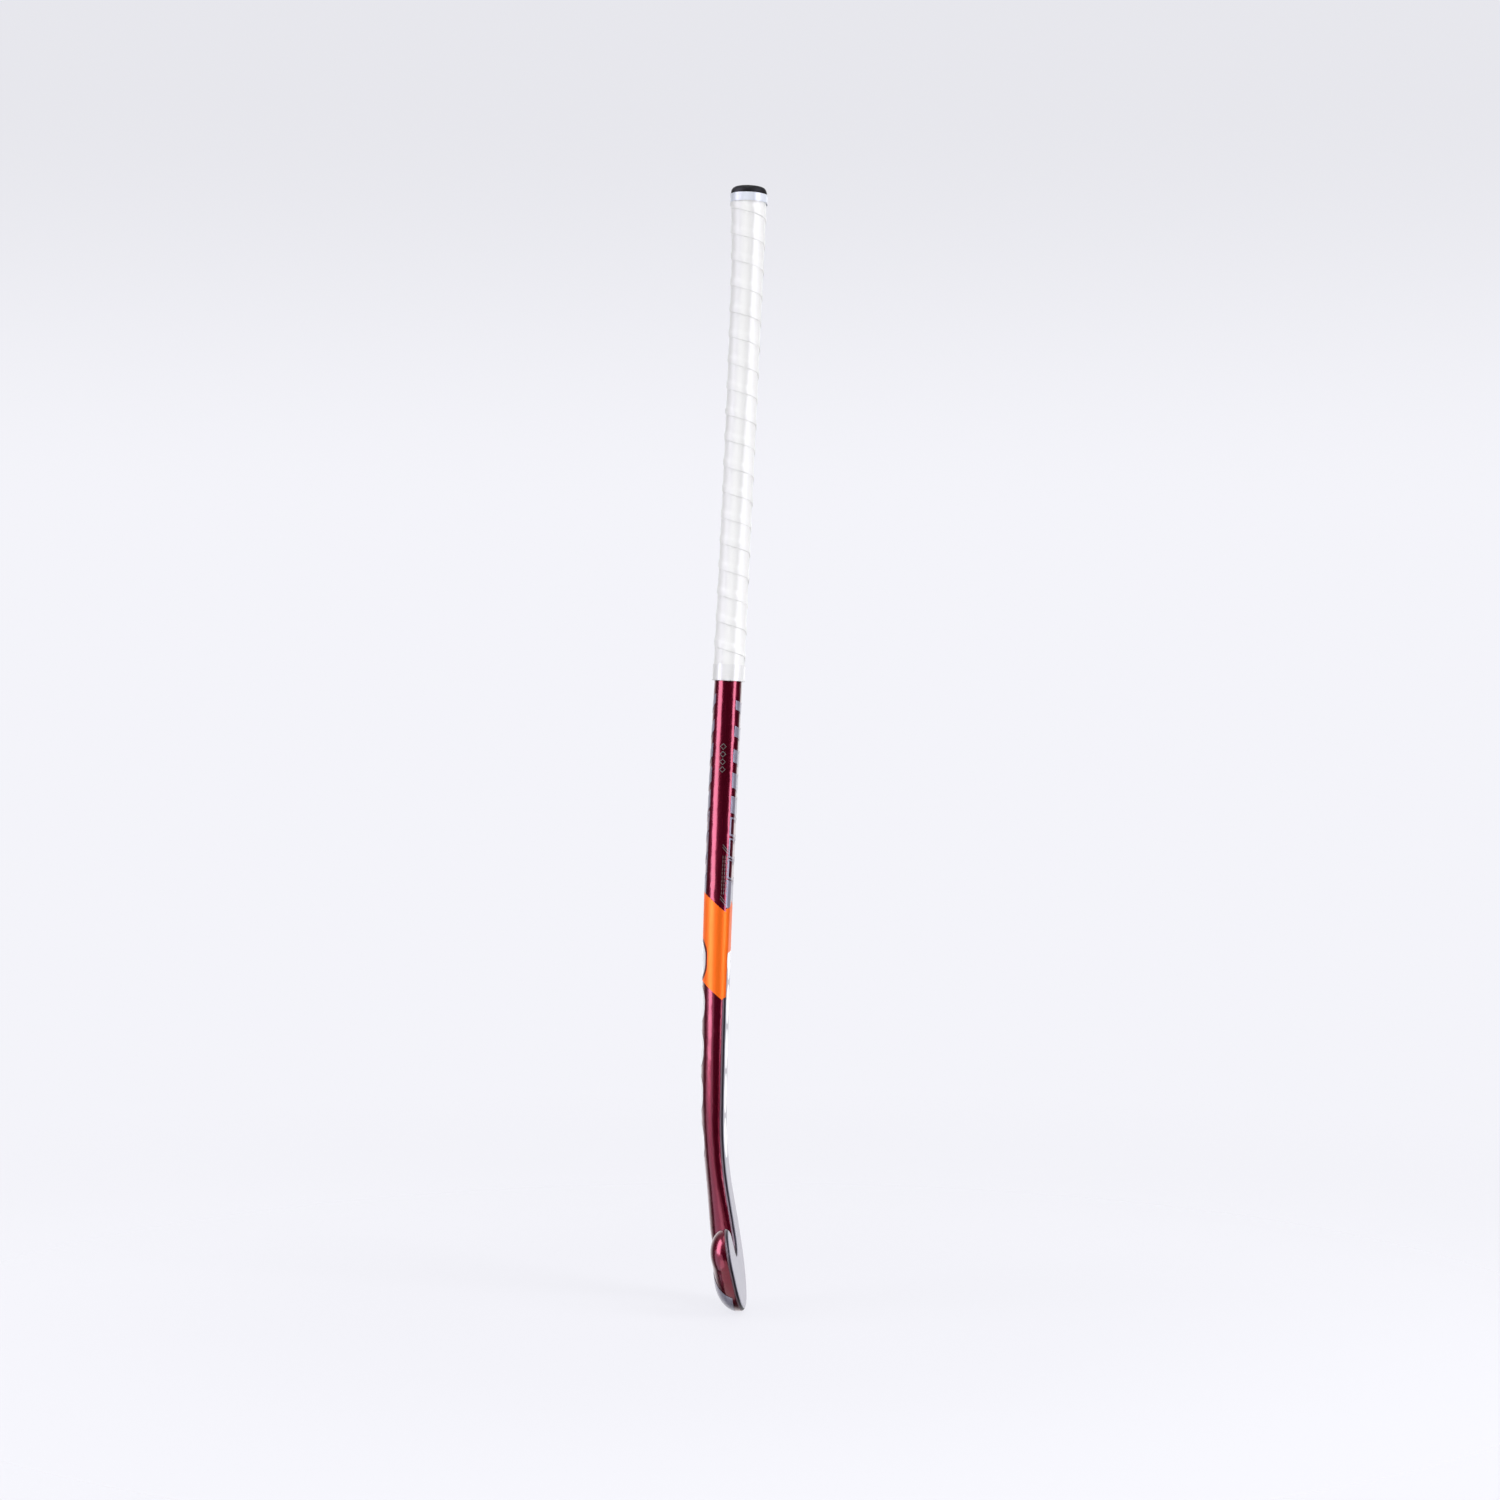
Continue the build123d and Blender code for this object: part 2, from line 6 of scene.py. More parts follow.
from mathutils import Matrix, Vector


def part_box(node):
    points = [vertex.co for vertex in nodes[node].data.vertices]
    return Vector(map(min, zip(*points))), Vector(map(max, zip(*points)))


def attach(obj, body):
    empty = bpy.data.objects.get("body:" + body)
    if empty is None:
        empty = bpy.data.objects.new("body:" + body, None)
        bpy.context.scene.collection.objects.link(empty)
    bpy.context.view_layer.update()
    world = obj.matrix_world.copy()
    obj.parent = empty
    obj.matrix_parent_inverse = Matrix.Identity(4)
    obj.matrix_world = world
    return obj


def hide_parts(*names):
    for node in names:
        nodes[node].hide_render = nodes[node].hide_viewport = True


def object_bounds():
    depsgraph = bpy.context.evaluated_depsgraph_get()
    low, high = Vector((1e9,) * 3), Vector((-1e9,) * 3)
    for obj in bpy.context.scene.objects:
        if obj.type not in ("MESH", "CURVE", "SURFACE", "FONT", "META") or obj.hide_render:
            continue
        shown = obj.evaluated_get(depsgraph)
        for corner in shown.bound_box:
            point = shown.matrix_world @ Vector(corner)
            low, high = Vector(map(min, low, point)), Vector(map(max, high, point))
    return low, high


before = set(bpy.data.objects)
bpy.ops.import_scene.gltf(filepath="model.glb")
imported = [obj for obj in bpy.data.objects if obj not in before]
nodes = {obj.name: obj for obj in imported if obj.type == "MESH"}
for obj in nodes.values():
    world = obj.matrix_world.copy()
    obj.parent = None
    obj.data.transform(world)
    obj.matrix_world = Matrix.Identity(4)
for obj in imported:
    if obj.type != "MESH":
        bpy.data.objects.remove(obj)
random.seed(7)


def box_numbers():
    """Lowest and highest corner of all that is visible, as plain lists."""
    low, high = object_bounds()
    return [list(low), list(high)]


cad_box = box_numbers()
scene = bpy.context.scene
scene.view_settings.view_transform = "Standard"

# ---------------------------------------------------------------- camera, lights, floor
# The camera stands level in front of the toe-side edge, turned a little toward the face.
cap_low, cap_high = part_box("end_cap")
SHAFT_X = (cap_low.x + cap_high.x) / 2
VIEW_TURN = math.radians(3.9)
CAMERA_DISTANCE = 2.468
CAMERA_HEIGHT = 0.4718
CAMERA_SHIFT = 0.01365
LENS, SENSOR = 69.3, 36
LIGHT_DISTANCE = 1.6
HIGHLIGHT_TINT = (1.0, 0.96, 1.18)
BACKDROP = (0.905, 0.905, 0.955)
BACKDROP_HIGH = (0.80, 0.80, 0.845)
forward = Vector((math.cos(VIEW_TURN), math.sin(VIEW_TURN), 0))
right = Vector((math.sin(VIEW_TURN), -math.cos(VIEW_TURN), 0))

camera_data = bpy.data.cameras.new("camera")
camera_data.lens = LENS
camera_data.sensor_width = SENSOR
camera_data.clip_start = 0.05
camera_data.clip_end = 60
camera = bpy.data.objects.new("camera", camera_data)
scene.collection.objects.link(camera)
aim = Vector((SHAFT_X, 0, CAMERA_HEIGHT)) + right * CAMERA_SHIFT
camera.location = aim - forward * CAMERA_DISTANCE
camera.rotation_mode = "QUATERNION"
camera.rotation_quaternion = forward.to_track_quat("-Z", "Y")
scene.camera = camera


def softbox(name, place, target, wide, tall, strength):
    """Rectangular lamp of even brightness, turned toward a target and not seen by the camera."""
    data = bpy.data.lights.new(name, "AREA")
    data.shape = "RECTANGLE"
    data.size = wide
    data.size_y = tall
    data.energy = strength * math.pi * wide * tall
    light = bpy.data.objects.new(name, data)
    scene.collection.objects.link(light)
    light.location = place
    light.rotation_mode = "QUATERNION"
    light.rotation_quaternion = (Vector(target) - Vector(place)).to_track_quat("-Z", "Y")
    light.visible_camera = False
    return light


middle = Vector((SHAFT_X, 0, 0.5))
# Each side has a box that shows as a highlight and one that lights the matt surfaces.
# The bounces are the lit floor beside and under the stick, seen only as soft reflections.
# Name, angle from the camera, height above the middle, width, height, strength, seen in gloss.
SIDE_LIGHTS = (
    ("highlight_back", -76, 0.6, 1.04, 2.1, 5.8, True),
    ("highlight_face", 58, 0.6, 0.72, 2.1, 6.4, True),
    ("bounce_back", -72, -1.0, 2.6, 1.7, 1.0, True),
    ("fill_back", -76, 0.6, 1.04, 2.1, 6.2, False),
    ("fill_face", 58, 0.6, 0.72, 2.1, 10.0, False),
    ("fill_front", 8, 0.6, 2.0, 2.1, 1.15, False),
)
for name, angle, high, wide, tall, strength, glossy in SIDE_LIGHTS:
    turn = math.radians(angle)
    way = -forward * math.cos(turn) + right * math.sin(turn)
    target = middle + Vector((0, 0, high / 3))
    place = middle + way * LIGHT_DISTANCE + Vector((0, 0, high))
    light = softbox(name, place, target, wide, tall, strength)
    light.visible_glossy = glossy
    light.visible_diffuse = not glossy
    if glossy:
        light.data.color = HIGHLIGHT_TINT
under = softbox("bounce_under", middle + Vector((-0.6, 0.25, -1.2)), middle, 1.7, 1.7, 0.9)
under.visible_diffuse = False
softbox("overhead", middle + Vector((-0.2, 0, 2.4)), middle, 1.6, 1.6, 1.8)


class Nodes:
    """Short hand for building a shader node tree."""

    def __init__(self, tree):
        self.tree = tree

    def add(self, kind, **settings):
        node = self.tree.nodes.new(kind)
        for key, value in settings.items():
            setattr(node, key, value)
        return node

    def link(self, source, target):
        self.tree.links.new(source, target)

    def math(self, operation, a, b=None, c=None, clamp=False):
        node = self.add("ShaderNodeMath", operation=operation, use_clamp=clamp)
        for socket, value in zip(node.inputs, (a, b, c)):
            if value is None:
                continue
            if isinstance(value, (int, float)):
                socket.default_value = value
            else:
                self.link(value, socket)
        return node.outputs[0]

    def step(self, value, low, high, to_low=0.0, to_high=1.0):
        """Smooth change from to_low to to_high as the value goes from low to high."""
        node = self.add("ShaderNodeMapRange", interpolation_type="SMOOTHSTEP")
        self.link(value, node.inputs["Value"])
        limits = {"From Min": low, "From Max": high, "To Min": to_low, "To Max": to_high}
        for name, number in limits.items():
            node.inputs[name].default_value = number
        return node.outputs["Result"]

    def noise(self, vector, scale, detail=2.0, roughness=0.5, distortion=0.0):
        node = self.add("ShaderNodeTexNoise")
        self.link(vector, node.inputs["Vector"])
        node.inputs["Scale"].default_value = scale
        node.inputs["Detail"].default_value = detail
        node.inputs["Roughness"].default_value = roughness
        node.inputs["Distortion"].default_value = distortion
        return node.outputs["Fac"]

    def mix(self, factor, a, b):
        node = self.add("ShaderNodeMix", data_type="RGBA")
        if isinstance(factor, (int, float)):
            node.inputs["Factor"].default_value = factor
        else:
            self.link(factor, node.inputs["Factor"])
        for name, value in (("A", a), ("B", b)):
            socket = [s for s in node.inputs if s.name == name and s.type == "RGBA"][0]
            if isinstance(value, tuple):
                socket.default_value = (*value, 1)
            else:
                self.link(value, socket)
        return [s for s in node.outputs if s.type == "RGBA"][0]

    def axes(self):
        """Object coordinates as separate X, Y and Z."""
        node = self.add("ShaderNodeSeparateXYZ")
        self.link(self.place(), node.inputs[0])
        return node.outputs

    def place(self, x=1.0, y=1.0, z=1.0):
        """Object coordinates, stretched along each axis."""
        node = self.add("ShaderNodeMapping")
        self.link(self.add("ShaderNodeTexCoord").outputs["Object"], node.inputs["Vector"])
        node.inputs["Scale"].default_value = (x, y, z)
        return node.outputs[0]

    def cells(self, vector, scale, output="Distance", **settings):
        node = self.add("ShaderNodeTexVoronoi", **settings)
        self.link(vector, node.inputs["Vector"])
        node.inputs["Scale"].default_value = scale
        return node.outputs[output]

    def bump(self, height, strength, distance):
        node = self.add("ShaderNodeBump")
        node.inputs["Strength"].default_value = strength
        node.inputs["Distance"].default_value = distance
        self.link(height, node.inputs["Height"])
        return node.outputs["Normal"]


def build_world():
    """Even backdrop for the camera; reflections see it bright only behind the stick and above."""
    world = bpy.data.worlds.new("studio")
    scene.world = world
    world.use_nodes = True
    world.node_tree.nodes.clear()
    n = Nodes(world.node_tree)
    way = n.add("ShaderNodeSeparateXYZ")
    n.link(n.add("ShaderNodeTexCoord").outputs["Generated"], way.inputs[0])
    behind = n.step(way.outputs["X"], 0.50, 0.97, 0.010, 1.0)
    above = n.step(way.outputs["Z"], 0.2, 0.9, 0.0, 0.4)
    level = n.math("ADD", behind, above)
    lit = n.add("ShaderNodeBackground")
    lit.inputs["Color"].default_value = (0.97, 0.97, 1.0, 1)
    n.link(level, lit.inputs["Strength"])
    seen = n.add("ShaderNodeBackground")
    high = n.step(way.outputs["Z"], 0.08, 0.22, 0.0, 1.0)
    colour = n.mix(high, BACKDROP, BACKDROP_HIGH)
    n.link(colour, seen.inputs["Color"])
    mixer = n.add("ShaderNodeMixShader")
    n.link(n.add("ShaderNodeLightPath").outputs["Is Camera Ray"], mixer.inputs["Fac"])
    n.link(lit.outputs[0], mixer.inputs[1])
    n.link(seen.outputs[0], mixer.inputs[2])
    n.link(mixer.outputs[0], n.add("ShaderNodeOutputWorld").inputs["Surface"])


def build_floor():
    """Round floor that fades into the backdrop and takes only a faint shadow."""
    rings, spokes, reach = 24, 96, 3.2
    mesh = bpy.data.meshes.new("floor")
    points = [(0, 0, 0)]
    faces = []
    for i in range(1, rings + 1):
        r = reach * (i / rings) ** 1.3
        for j in range(spokes):
            turn = 2 * math.pi * j / spokes
            points.append((r * math.cos(turn), r * math.sin(turn), 0))
    for j in range(spokes):
        faces.append((0, 1 + j, 1 + (j + 1) % spokes))
    for i in range(rings - 1):
        for j in range(spokes):
            a = 1 + i * spokes + j
            b = 1 + i * spokes + (j + 1) % spokes
            faces.append((a, a + spokes, b + spokes, b))
    mesh.from_pydata(points, [], faces)
    floor = bpy.data.objects.new("floor", mesh)
    scene.collection.objects.link(floor)
    floor.location = (0, 0, cad_box[0][2] - 0.0005)
    floor.visible_glossy = False
    material = bpy.data.materials.new("studio_floor")
    material.use_nodes = True
    material.node_tree.nodes.clear()
    n = Nodes(material.node_tree)
    spot = n.place()
    length = n.add("ShaderNodeVectorMath", operation="LENGTH")
    n.link(spot, length.inputs[0])
    fade = n.step(length.outputs["Value"], 0.25, 1.6)
    surface = n.add("ShaderNodeBsdfPrincipled")
    surface.inputs["Base Color"].default_value = (0.10, 0.10, 0.105, 1)
    surface.inputs["Roughness"].default_value = 0.9
    surface.inputs["Specular IOR Level"].default_value = 0.1
    surface.inputs["Emission Color"].default_value = (*BACKDROP, 1)
    surface.inputs["Emission Strength"].default_value = 0.84
    clear = n.add("ShaderNodeBsdfTransparent")
    mixer = n.add("ShaderNodeMixShader")
    n.link(fade, mixer.inputs["Fac"])
    n.link(surface.outputs[0], mixer.inputs[1])
    n.link(clear.outputs[0], mixer.inputs[2])
    n.link(mixer.outputs[0], n.add("ShaderNodeOutputMaterial").inputs["Surface"])
    mesh.materials.append(material)


build_world()
build_floor()


# ---------------------------------------------------------------- materials
def finish(name, **values):
    """New material with one Principled shader; returns it, its tree and the shader."""
    made = bpy.data.materials.new(name)
    made.use_nodes = True
    made.node_tree.nodes.clear()
    n = Nodes(made.node_tree)
    shader = n.add("ShaderNodeBsdfPrincipled")
    for key, value in values.items():
        shader.inputs[key.replace("_", " ")].default_value = value
    n.link(shader.outputs[0], n.add("ShaderNodeOutputMaterial").inputs["Surface"])
    return made, n, shader


def lacquer():
    """Metallic maroon under clear coat: flake, orange peel, fine scratches, scuffs at the sole."""
    made, n, shader = finish(
        "maroon_lacquer_finish", Metallic=0.85, Coat_Weight=0.85, Coat_Roughness=0.16
    )
    drift = n.noise(n.place(), 14, 3)
    paint = n.mix(n.step(drift, 0.35, 0.65), (0.160, 0.0008, 0.017), (0.182, 0.0012, 0.023))
    flake = n.cells(n.place(), 2600, "Color")
    glint = n.add("ShaderNodeSeparateColor")
    n.link(flake, glint.inputs[0])
    spark = n.step(glint.outputs[0], 0.90, 1.0)
    paint = n.mix(n.math("MULTIPLY", spark, 0.12), paint, (0.42, 0.03, 0.13))
    low = n.step(n.axes()["Z"], 0.012, 0.001)
    scuff = n.step(n.noise(n.place(1, 3, 1), 190, 5, 0.7), 0.56, 0.70)
    worn = n.math("MULTIPLY", low, scuff)
    paint = n.mix(n.math("MULTIPLY", worn, 0.5), paint, (0.16, 0.11, 0.12))
    n.link(paint, shader.inputs["Base Color"])
    scratch = n.step(n.noise(n.place(1, 1, 0.03), 1500, 3, 0.6), 0.62, 0.72)
    rough = n.math("MULTIPLY_ADD", scratch, 0.03, 0.26)
    n.link(n.math("MULTIPLY_ADD", worn, 0.3, rough), shader.inputs["Roughness"])
    peel = n.bump(n.noise(n.place(), 260, 2), 0.05, 0.00002)
    n.link(peel, shader.inputs["Coat Normal"])
    return made


def film(name, light, shade, metallic, roughness, coat=0.5, streak=0.06):
    """Printed film: soft streaks along the stick, a fine dot screen and light scratches."""
    made, n, shader = finish(name, Metallic=metallic, Coat_Weight=coat, Coat_Roughness=0.08)
    streaks = n.noise(n.place(1, 1, 0.035), 420, 4, 0.6)
    screen = n.step(n.cells(n.place(), 1700), 0.1, 0.5)
    tone = n.math("MULTIPLY_ADD", screen, 0.25, n.step(streaks, 0.35, 0.68))
    print_tone = n.mix(n.math("MULTIPLY", tone, 0.8, clamp=True), light, shade)
    n.link(print_tone, shader.inputs["Base Color"])
    scratch = n.step(n.noise(n.place(1, 1, 0.05), 1300, 3, 0.6), 0.60, 0.72)
    drift = n.math("MULTIPLY_ADD", streaks, streak, roughness)
    n.link(n.math("MULTIPLY_ADD", scratch, 0.08, drift), shader.inputs["Roughness"])
    n.link(n.bump(streaks, 0.2, 0.00004), shader.inputs["Normal"])
    return made


def grip_polymer():
    """White cushioned grip: fine leathery grain with pores that carry painted shade, and a trace
    of grey from handling.
    """
    made, n, shader = finish("grip_white_finish", Sheen_Weight=0.12, Sheen_Roughness=0.5)
    grain = n.cells(n.place(), 1150, feature="SMOOTH_F1")
    pores = n.step(n.cells(n.place(), 620), 0.16, 0.05)
    handled = n.step(n.noise(n.place(1, 1, 0.6), 34, 4, 0.6), 0.52, 0.75)
    white = n.mix(handled, (0.84, 0.84, 0.835), (0.805, 0.802, 0.795))
    # The pores are mixed toward a darker grey: painted shade inside the pores.
    white = n.mix(n.math("MULTIPLY", pores, 0.35), white, (0.60, 0.60, 0.595))
    n.link(white, shader.inputs["Base Color"])
    n.link(n.math("MULTIPLY_ADD", grain, 0.18, 0.46), shader.inputs["Roughness"])
    relief = n.math("MULTIPLY_ADD", pores, -0.8, grain)
    n.link(n.bump(relief, 0.35, 0.00022), shader.inputs["Normal"])
    return made


def vinyl():
    """Glossy white tape with stretch lines round the handle; the top band is faintly blue."""
    made, n, shader = finish("tape_white_finish", Coat_Weight=0.3, Coat_Roughness=0.12)
    upper = n.step(n.axes()["Z"], 0.8, 0.9)
    lines = n.noise(n.place(0.15, 0.15, 1), 900, 3, 0.6)
    plain = n.mix(lines, (0.81, 0.81, 0.815), (0.75, 0.75, 0.76))
    bluish = n.mix(lines, (0.76, 0.79, 0.87), (0.70, 0.73, 0.83))
    n.link(n.mix(upper, plain, bluish), shader.inputs["Base Color"])
    n.link(n.math("MULTIPLY_ADD", lines, 0.2, 0.22), shader.inputs["Roughness"])
    n.link(n.bump(lines, 0.3, 0.00006), shader.inputs["Normal"])
    return made


def rubber():
    """Black moulded rubber: matt grain with a few paler scuffs."""
    made, n, shader = finish("cap_rubber_finish", Specular_IOR_Level=0.2)
    grain = n.noise(n.place(), 2100, 4, 0.65)
    scuff = n.step(n.noise(n.place(1, 2, 1), 260, 4, 0.7), 0.60, 0.74)
    black = n.mix(scuff, (0.0065, 0.0065, 0.0075), (0.020, 0.020, 0.022))
    n.link(black, shader.inputs["Base Color"])
    n.link(n.math("MULTIPLY_ADD", grain, 0.22, 0.42), shader.inputs["Roughness"])
    n.link(n.bump(grain, 0.35, 0.00012), shader.inputs["Normal"])
    return made


def foam(name, light, shade, size):
    """Closed-cell foam for the parts inside the stick."""
    made, n, shader = finish(name)
    cell = n.cells(n.place(), size)
    n.link(n.mix(n.step(cell, 0.1, 0.6), shade, light), shader.inputs["Base Color"])
    n.link(n.math("MULTIPLY_ADD", cell, -0.2, 0.9), shader.inputs["Roughness"])
    n.link(n.bump(cell, 0.5, 0.0004), shader.inputs["Normal"])
    return made


def woven_laminate():
    """Carbon cloth in resin: a plain weave of crossing tows."""
    made, n, shader = finish("tube_laminate_finish", Coat_Weight=0.7, Coat_Roughness=0.1)
    axes = n.axes()
    diagonal = n.math("ADD", axes["X"], axes["Y"])
    across = n.math("SINE", n.math("MULTIPLY", diagonal, 2100))
    along = n.math("SINE", n.math("MULTIPLY", axes["Z"], 2100))
    weave = n.step(n.math("MULTIPLY", across, along), -0.2, 0.2)
    n.link(n.mix(weave, (0.014, 0.014, 0.016), (0.045, 0.045, 0.050)), shader.inputs["Base Color"])
    n.link(n.math("MULTIPLY_ADD", weave, 0.15, 0.32), shader.inputs["Roughness"])
    n.link(n.bump(weave, 0.3, 0.0001), shader.inputs["Normal"])
    return made


def knit():
    """Grey knitted cushion under the grip."""
    made, n, shader = finish("cushion_wrap_finish", Sheen_Weight=0.3)
    loops = n.cells(n.place(1, 1, 0.6), 900, feature="SMOOTH_F1")
    n.link(n.mix(loops, (0.55, 0.55, 0.56), (0.33, 0.33, 0.34)), shader.inputs["Base Color"])
    n.link(n.math("MULTIPLY_ADD", loops, 0.1, 0.8), shader.inputs["Roughness"])
    n.link(n.bump(loops, 0.5, 0.0003), shader.inputs["Normal"])
    return made


# Printed films: colour, its shade, metallic, roughness, coat
FILMS = {
    "silver_film": ((0.325, 0.31, 0.385), (0.27, 0.255, 0.325), 0.6, 0.34, 0.5),
    "white_film": ((0.88, 0.88, 0.90), (0.80, 0.80, 0.83), 0.0, 0.30, 0.4),
    "orange_film": ((0.98, 0.165, 0.005), (0.93, 0.145, 0.004), 0.5, 0.40, 0.0),
    "dark_film": ((0.006, 0.0055, 0.009), (0.010, 0.008, 0.013), 0.1, 0.42, 0.1),
    "pale_film": ((0.115, 0.075, 0.090), (0.085, 0.055, 0.068), 0.2, 0.42, 0.2),
    "outline_film": ((0.10, 0.008, 0.006), (0.08, 0.005, 0.004), 0.3, 0.4, 0.3),
    "mark_film": ((0.17, 0.155, 0.15), (0.11, 0.10, 0.10), 0.3, 0.36, 0.4),
}
MATERIALS = {
    "maroon_lacquer": lacquer(),
    "grip_white": grip_polymer(),
    "tape_white": vinyl(),
    "cap_rubber": rubber(),
    "core_foam": foam("core_foam_finish", (0.72, 0.60, 0.36), (0.50, 0.39, 0.20), 800),
    "plug_foam": foam("plug_foam_finish", (0.42, 0.42, 0.44), (0.24, 0.24, 0.26), 1100),
    "tube_laminate": woven_laminate(),
    "cushion_wrap": knit(),
}
for slot, look in FILMS.items():
    MATERIALS[slot] = film(slot + "_finish", *look)

for node in nodes.values():
    for holder in node.material_slots:
        holder.material = MATERIALS[holder.material.name.split(".")[0]]


# ---------------------------------------------------------------- grip wrap
# The straight upper part of the stick, measured up the face in mm, as (level, width, depth,
# corner radius) of the laminate.
MM = 0.001
HANDLE_TILT = math.radians(-2.75)
UP = Vector((0, math.sin(HANDLE_TILT), math.cos(HANDLE_TILT)))
BACK = Vector((0, math.cos(HANDLE_TILT), -math.sin(HANDLE_TILT)))
ACROSS = Vector((1, 0, 0))
BUTT_LEVEL = 946.7
BUTT_ON_FACE = Vector((SHAFT_X, -0.02665, 0.94538))
SIZES = (
    (460.0, 33.0, 23.9, 9.6),
    (530.0, 30.6, 23.5, 10.9),
    (620.0, 29.4, 23.1, 11.2),
    (720.0, 29.0, 23.1, 11.2),
    (820.0, 29.0, 23.7, 11.4),
    (885.0, 29.4, 24.7, 11.9),
    (920.0, 30.8, 26.3, 12.7),
    (946.7, 32.6, 28.0, 13.5),
    (960.0, 33.2, 28.6, 13.8),
)

# Each turn of tape covers LAP of the one below. TAPE_INSIDE is the cushion it lies on.
# SEAM_LEVEL is one seam's level on the near side, NEAR_SIDE of a turn from the face.
GRIP_BOTTOM, GRIP_TOP = 531.0, 946.2
PITCH = 22.0
LAP = 4.0
TAPE_WIDTH = PITCH + LAP
TAPE_THICK = 0.62
TAPE_INSIDE = 0.57
SEAM_LEVEL = 908.0
NEAR_SIDE = 0.75
STEPS_PER_TURN = 96
LOWEST, HIGHEST = 470.0, 958.0

# The flat face takes this share of a turn on each side of its middle.
FLAT_SHARE = 0.04

# Once a turn the tape's lower edge puckers: a small ridge this far over the seam, which slants.
RIDGE_LEVEL = 2.6
RIDGE_SLANT = 0.8
SEAM_WANDER = 0.55


def handle_size(level):
    """Width, depth and corner radius of the laminate at a level, smoothed through SIZES."""
    i = max(j for j in range(len(SIZES) - 1) if SIZES[j][0] <= level or j == 0)
    before = SIZES[max(i - 1, 0)]
    low = SIZES[i]
    high = SIZES[i + 1]
    after = SIZES[min(i + 2, len(SIZES) - 1)]
    span = high[0] - low[0]
    f = (level - low[0]) / span
    values = []
    for k in (1, 2, 3):
        slope_low = (high[k] - before[k]) / (high[0] - before[0]) * span
        slope_high = (after[k] - low[k]) / (after[0] - low[0]) * span
        value = (2 * f**3 - 3 * f**2 + 1) * low[k] + (f**3 - 2 * f**2 + f) * slope_low
        values.append(value + (3 * f**2 - 2 * f**3) * high[k] + (f**3 - f**2) * slope_high)
    return values


def handle_point(turn, level, offset):
    """Point a share of a turn round the handle from the face, lifted off the laminate."""
    width, depth, corner = handle_size(level)
    turn = turn % 1.0
    side = 1 if turn < 0.5 else -1
    share = min(turn, 1 - turn)
    half = width / 2
    if share < FLAT_SHARE:
        x, y, out_x, out_y = share / FLAT_SHARE * (half - corner), 0.0, 0.0, -1.0
    elif share < 0.25:
        a = (share - FLAT_SHARE) / (0.25 - FLAT_SHARE) * math.pi / 2
        x, y = half - corner + corner * math.sin(a), corner - corner * math.cos(a)
        out_x, out_y = math.sin(a), -math.cos(a)
    else:
        a = (share - 0.25) / 0.25 * math.pi / 2
        x, y = half * math.cos(a), corner + (depth - corner) * math.sin(a)
        out_x, out_y = math.cos(a) / half, math.sin(a) / (depth - corner)
        length = math.hypot(out_x, out_y)
        out_x, out_y = out_x / length, out_y / length
    x = side * (x + out_x * offset)
    y = y + out_y * offset
    return BUTT_ON_FACE - UP * (BUTT_LEVEL - level) * MM + ACROSS * x * MM + BACK * y * MM


def smooth(value, low, high):
    """0 up to low, 1 from high, and an even curve between."""
    f = min(max((value - low) / (high - low), 0), 1)
    return f * f * (3 - 2 * f)


def tape_profile():
    """Closed section of the tape, (height over its lower edge, offset), lapped at the bottom."""
    def inside(x):
        return TAPE_INSIDE + (TAPE_THICK + 0.04) * (1 - smooth(x, LAP + 0.2, LAP + 4.5))
    lip = ((0.0, 0.16), (0.05, 0.32), (0.15, 0.46), (0.32, 0.56), (0.6, 0.61))
    body = (1.0, 1.8, 2.8, 4.0, 5.0, 6.0, 7.0, 8.2, 10.5, 14.0, 18.0, 22.0, 25.6)
    outer = [(x, inside(x) + t) for x, t in lip]
    outer += [(x, inside(x) + TAPE_THICK) for x in body]
    outer.append((TAPE_WIDTH, inside(TAPE_WIDTH) + 0.3))
    inner = [(x, inside(x)) for x in (25.6, 18.0, 10.5, 8.2, 7.0, 6.0, 5.0, 4.0, 2.0, 0.3)]
    return outer + inner, len(outer)


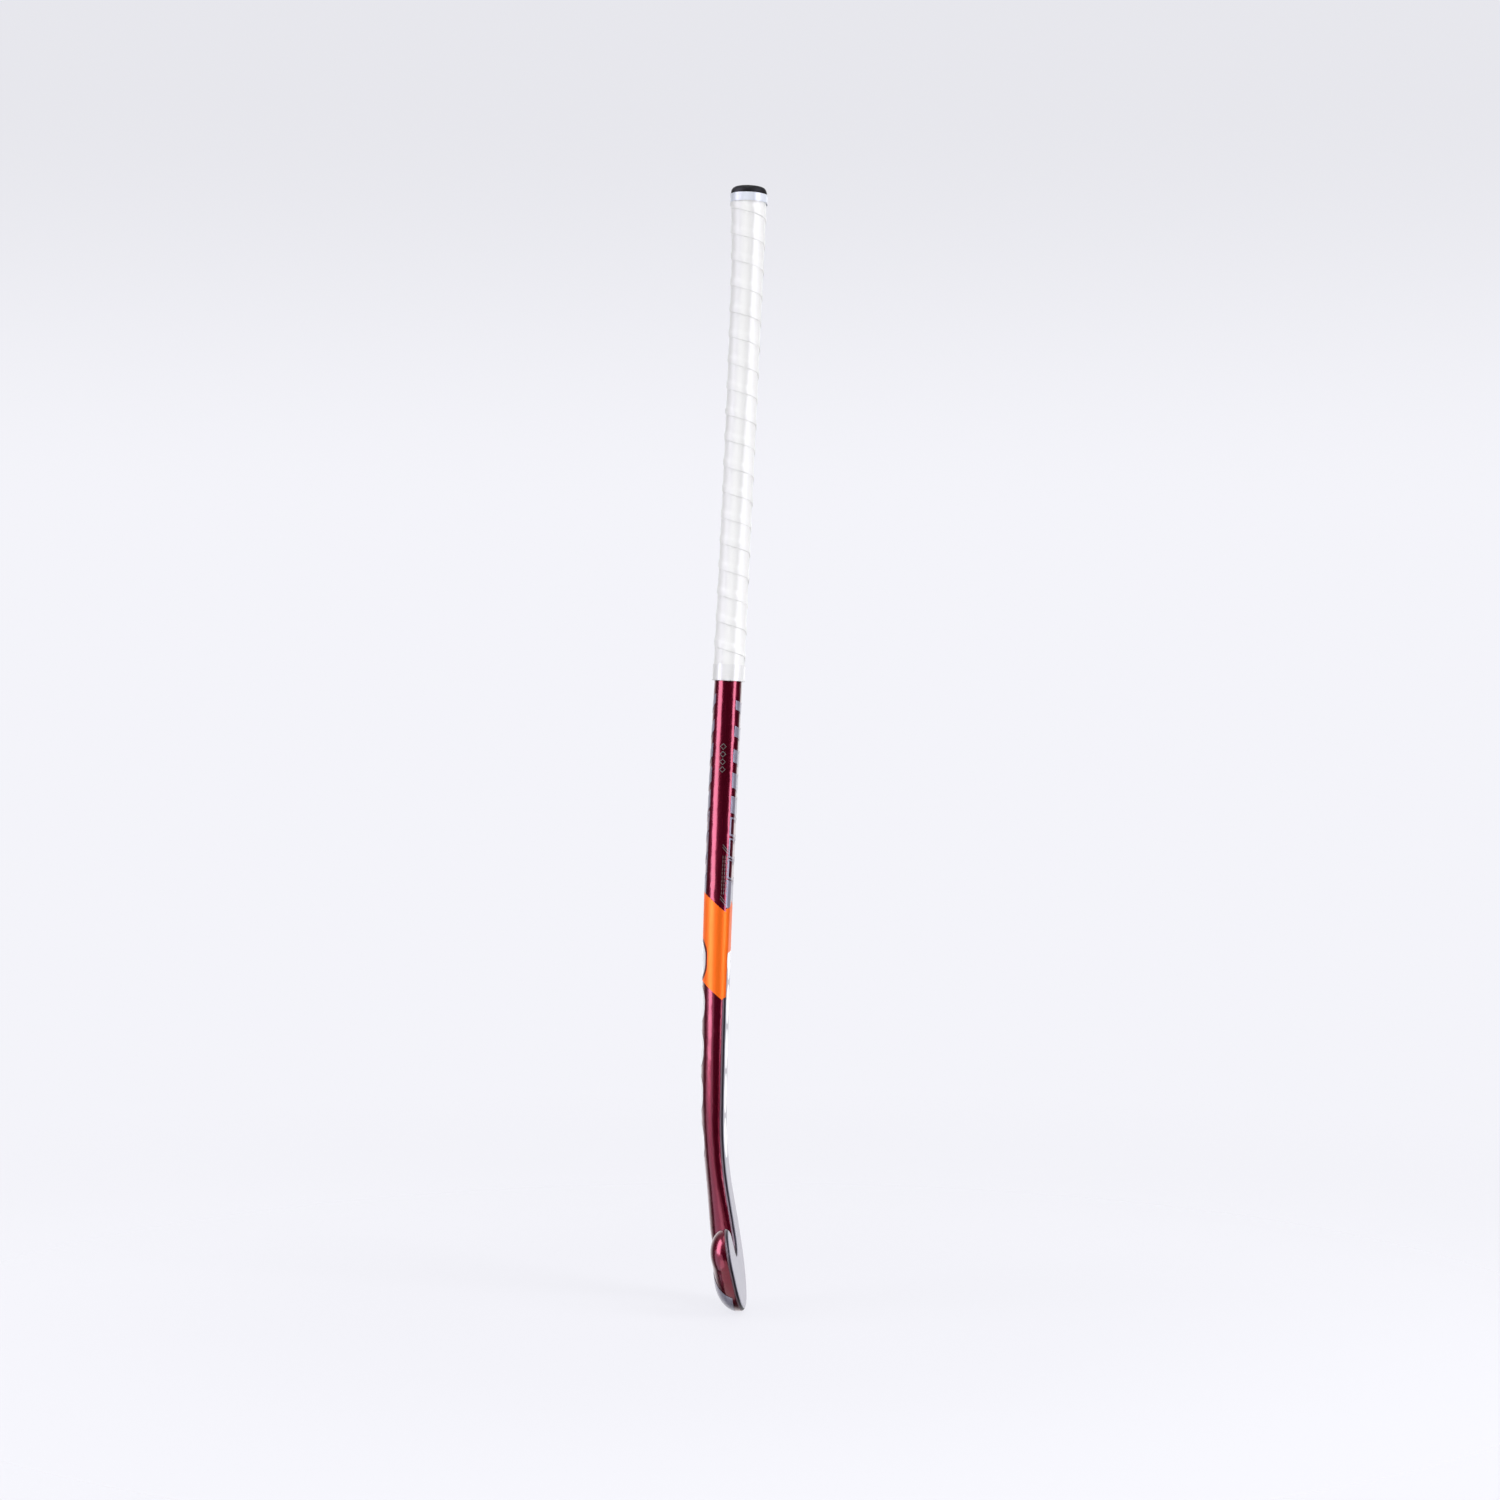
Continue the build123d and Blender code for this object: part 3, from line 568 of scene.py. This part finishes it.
def build_grip():
    """Tape wound up the handle as one closed strip, cut level at both ends."""
    profile, outer_count = tape_profile()
    first = NEAR_SIDE + (SEAM_LEVEL - GRIP_TOP - 2) / PITCH
    last = NEAR_SIDE + (SEAM_LEVEL + TAPE_WIDTH - GRIP_BOTTOM + 2) / PITCH
    columns = math.ceil((last - first) * STEPS_PER_TURN) + 1
    turns = range(math.floor(first) - 1, math.ceil(last) + 2)
    puckers = {}
    for k in turns:
        where = random.uniform(0.68, 0.80)
        height = random.uniform(0.08, 0.20)
        spread = random.uniform(0.020, 0.040)
        puckers[k] = (where, height, spread)
    wander = {k: random.uniform(-SEAM_WANDER, SEAM_WANDER) for k in turns}
    mesh = bpy.data.meshes.new("grip_wrap")
    made = bmesh.new()
    rows = []
    for c in range(columns):
        along = first + c / STEPS_PER_TURN
        turn = math.floor(along)
        share = along - turn
        drift = wander[turn] + (wander[turn + 1] - wander[turn]) * smooth(share, 0, 1)
        seam = SEAM_LEVEL - PITCH * (along - NEAR_SIDE) + drift
        where, height, spread = puckers[turn]
        fold = height * math.exp(-(((share - where) / spread) ** 2))
        ring = []
        ridge = RIDGE_LEVEL + (share - where) / spread * RIDGE_SLANT
        for j, (x, offset) in enumerate(profile):
            lift = fold * math.exp(-((x - ridge) ** 2)) if j < outer_count else 0
            level = min(max(seam + x, LOWEST), HIGHEST)
            ring.append(made.verts.new(handle_point(share, level, offset + lift)))
        rows.append(ring)
    size = len(profile)
    for a, b in zip(rows, rows[1:]):
        for j in range(size):
            k = (j + 1) % size
            made.faces.new((a[j], a[k], b[k], b[j]))
    made.faces.new(rows[0])
    made.faces.new(list(reversed(rows[-1])))
    for level, way in ((GRIP_TOP, 1), (GRIP_BOTTOM, -1)):
        cut = BUTT_ON_FACE - UP * (BUTT_LEVEL - level) * MM
        bmesh.ops.bisect_plane(
            made,
            geom=made.verts[:] + made.edges[:] + made.faces[:],
            plane_co=cut,
            plane_no=UP * way,
            clear_outer=True,
            dist=1e-7,
        )
        bmesh.ops.holes_fill(made, edges=[e for e in made.edges if e.is_boundary])
    bmesh.ops.recalc_face_normals(made, faces=made.faces[:])
    made.to_mesh(mesh)
    made.free()
    for polygon in mesh.polygons:
        polygon.use_smooth = True
    piece = bpy.data.objects.new("grip_wrap", mesh)
    scene.collection.objects.link(piece)
    mesh.materials.append(MATERIALS["grip_white"])
    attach(piece, "root")
    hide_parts("grip_tape")


build_grip()
